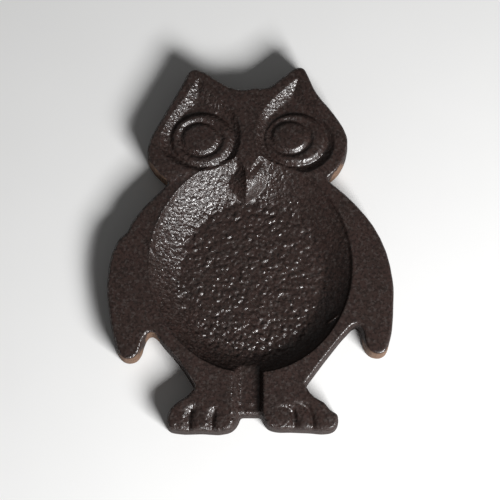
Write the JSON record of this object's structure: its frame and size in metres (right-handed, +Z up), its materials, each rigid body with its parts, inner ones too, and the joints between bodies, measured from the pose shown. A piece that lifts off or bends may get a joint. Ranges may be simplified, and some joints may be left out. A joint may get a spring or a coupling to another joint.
{
  "type": "owl-shaped dish",
  "caption": "Cast-iron dish in the shape of a standing owl, with a round hollow belly, a trough between its legs and felt pads underneath.",
  "frame": {"origin": "centre of the bounding box on the table under the felt pads", "axes": "+Z up out of the dish, +Y towards the owl's head and ears, -Y towards its feet, +X towards its right-hand wing as seen from above"},
  "size_m": [0.1147, 0.1484, 0.013],
  "materials": {
    "iron": "sand-cast iron under a thin dark brown-black semi-gloss paint",
    "felt": "black pressed felt, self-adhesive"
  },
  "bodies": {
    "root": {"owl_casting": "iron", "felt_pad_head_left": "felt", "felt_pad_head_right": "felt", "felt_pad_wing_left": "felt", "felt_pad_wing_right": "felt", "felt_pad_foot_left": "felt", "felt_pad_foot_right": "felt"}
  },
  "joints": []
}
